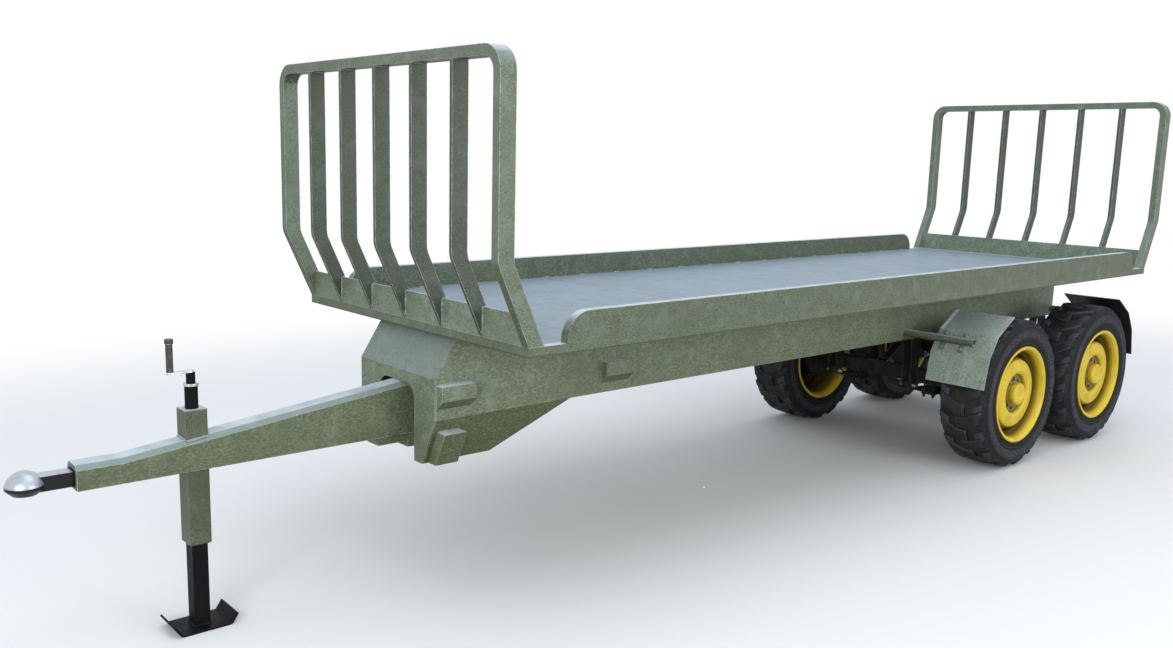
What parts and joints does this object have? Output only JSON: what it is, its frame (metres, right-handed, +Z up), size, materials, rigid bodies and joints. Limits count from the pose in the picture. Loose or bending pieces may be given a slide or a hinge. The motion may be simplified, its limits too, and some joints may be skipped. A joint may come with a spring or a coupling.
{
  "type": "bale trailer",
  "caption": "Flat-deck farm trailer for bales with barred end racks, low side boards, tandem sprung axles, yellow wheels and a drawbar parked on a screw jack.",
  "frame": {"origin": "on the floor, halfway along and across the trailer's box", "axes": "+X forward towards the coupling, +Y to the left, +Z up"},
  "size_m": [10.36, 2.51, 3.278],
  "materials": {
    "green_paint": "weathered sage green paint",
    "wheel_yellow": "satin yellow paint",
    "tyre_rubber": "matt black rubber",
    "running_gear_black": "black chassis paint",
    "black_steel": "black paint",
    "bright_steel": "worn bare steel"
  },
  "bodies": {
    "trailer": {"axle_front": "running_gear_black", "axle_rear": "running_gear_black", "chassis_bottom_plate": "green_paint", "chassis_cross_plates": "green_paint", "chassis_nose": "green_paint", "chassis_side_brackets": "green_paint", "chassis_side_left": "green_paint", "chassis_side_right": "green_paint", "deck_cross_members": "green_paint", "deck_end_rails": "green_paint", "deck_floor": "green_paint", "deck_side_rails": "green_paint", "drawbar": "green_paint", "drawbar_pivot_blocks": "green_paint", "drawbar_pivot_pin": "green_paint", "drawbar_shoe": "green_paint", "headboard_bars": "green_paint", "headboard_hoop": "green_paint", "headboard_kick_plate": "green_paint", "jack_crank": "bright_steel", "jack_head": "black_steel", "jack_sleeve": "green_paint", "leaf_springs": "running_gear_black", "mudguard_stays": "green_paint", "mudguards_front": "green_paint", "mudguards_rear": "green_paint", "side_board_left": "green_paint", "side_board_right": "green_paint", "spring_hangers": "running_gear_black", "spring_rockers": "running_gear_black", "tailboard_bars": "green_paint", "tailboard_hoop": "green_paint", "tailboard_kick_plate": "green_paint", "tow_coupling": "black_steel"},
    "wheel_front_left": {"tyre_front_left": "tyre_rubber", "rim_front_left": "wheel_yellow", "hub_front_left": "wheel_yellow"},
    "wheel_front_right": {"tyre_front_right": "tyre_rubber", "rim_front_right": "wheel_yellow", "hub_front_right": "wheel_yellow"},
    "wheel_rear_left": {"tyre_rear_left": "tyre_rubber", "rim_rear_left": "wheel_yellow", "hub_rear_left": "wheel_yellow"},
    "wheel_rear_right": {"tyre_rear_right": "tyre_rubber", "rim_rear_right": "wheel_yellow", "hub_rear_right": "wheel_yellow"},
    "jack_leg": {"jack_leg": "black_steel", "jack_foot": "black_steel"}
  },
  "joints": [
    {"name": "wheel_front_left_spin", "type": "hinge", "parent": "trailer", "child": "wheel_front_left", "pos_m": [-2.688, 1.035, 0.66], "axis": [0, 1, 0], "continuous": true},
    {"name": "wheel_front_right_spin", "type": "hinge", "parent": "trailer", "child": "wheel_front_right", "pos_m": [-2.688, -1.035, 0.66], "axis": [0, 1, 0], "continuous": true},
    {"name": "wheel_rear_left_spin", "type": "hinge", "parent": "trailer", "child": "wheel_rear_left", "pos_m": [-4.198, 1.035, 0.66], "axis": [0, 1, 0], "continuous": true},
    {"name": "wheel_rear_right_spin", "type": "hinge", "parent": "trailer", "child": "wheel_rear_right", "pos_m": [-4.198, -1.035, 0.66], "axis": [0, 1, 0], "continuous": true},
    {"name": "jack_slide", "type": "slide", "parent": "trailer", "child": "jack_leg", "axis": [0, 0, 1], "range_m": [-0.1, 0.4]}
  ]
}
